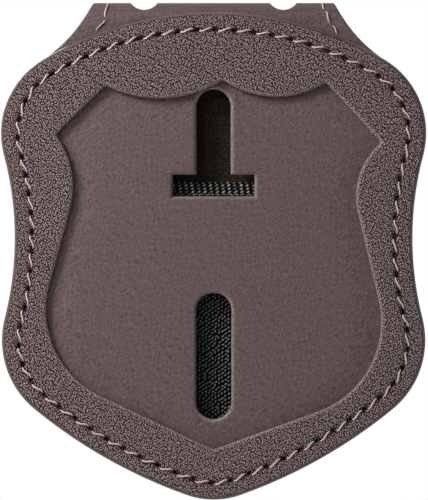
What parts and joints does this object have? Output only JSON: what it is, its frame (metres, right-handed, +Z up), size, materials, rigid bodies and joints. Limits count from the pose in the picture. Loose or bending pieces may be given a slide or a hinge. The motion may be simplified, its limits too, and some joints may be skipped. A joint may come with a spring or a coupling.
{
  "type": "clip-on badge holder",
  "caption": "Leather shield badge holder: recessed front with pin slots, fold-over rear flap closed by hook and loop tape, and a sprung steel belt clip.",
  "frame": {"origin": "middle of the belt's top edge, where it rests under the bend of the belt clip", "axes": "+X to the wearer's left as the front is seen, which is the viewer's right; +Y from the front to the wearer's body; +Z up. The front, with the window, faces -Y"},
  "size_m": [0.0896, 0.0168, 0.1054],
  "materials": {
    "grained_leather": "pebbled, satin",
    "smooth_leather": "smooth, matte",
    "lining_leather": "napped, matte",
    "stiffener_board": "fibre board",
    "loop_tape": "loop pile",
    "hook_tape": "moulded hooks",
    "seam_thread": "waxed thread",
    "tape_thread": "waxed thread",
    "spring_steel": "plated, satin",
    "rivet_steel": "plated, satin"
  },
  "bodies": {
    "flap": {"flap_cover": "smooth_leather", "flap_stiffener": "stiffener_board", "flap_lining": "lining_leather", "hook_patch": "hook_tape", "flap_seam_thread": "seam_thread", "flap_seam_bobbin_thread": "seam_thread", "hook_patch_thread": "tape_thread", "clip_base": "spring_steel", "clip_rivets": "rivet_steel", "rivet_washers": "rivet_steel"},
    "fold": {"fold_leather": "smooth_leather", "fold_lining": "lining_leather", "fold_seam_thread": "seam_thread"},
    "front": {"front_frame": "grained_leather", "recess_panel": "smooth_leather", "front_lining": "lining_leather", "loop_patch": "loop_tape", "frame_seam_thread": "seam_thread", "frame_seam_bobbin_thread": "seam_thread", "loop_patch_thread": "tape_thread", "strap_seam_thread": "seam_thread"},
    "clip_arm": {"clip_arm": "spring_steel"}
  },
  "joints": [
    {"name": "fold_hinge_rear", "type": "hinge", "parent": "flap", "child": "fold", "pos_m": [0, -0.00413, 0.012], "axis": [-1, 0, 0], "range_deg": [0, 85]},
    {"name": "fold_hinge_front", "type": "hinge", "parent": "fold", "child": "front", "pos_m": [0, -0.01037, 0.012], "axis": [-1, 0, 0], "range_deg": [0, 85]},
    {"name": "clip_spring", "type": "hinge", "parent": "flap", "child": "clip_arm", "pos_m": [0, 0, 0.0009], "axis": [1, 0, 0], "range_deg": [0, 12], "stiffness_Nm_per_rad": 0.3, "springref_deg": -2.86}
  ],
  "couplings": [
    {"joint": "fold_hinge_front", "follows": "fold_hinge_rear", "ratio": 1}
  ]
}
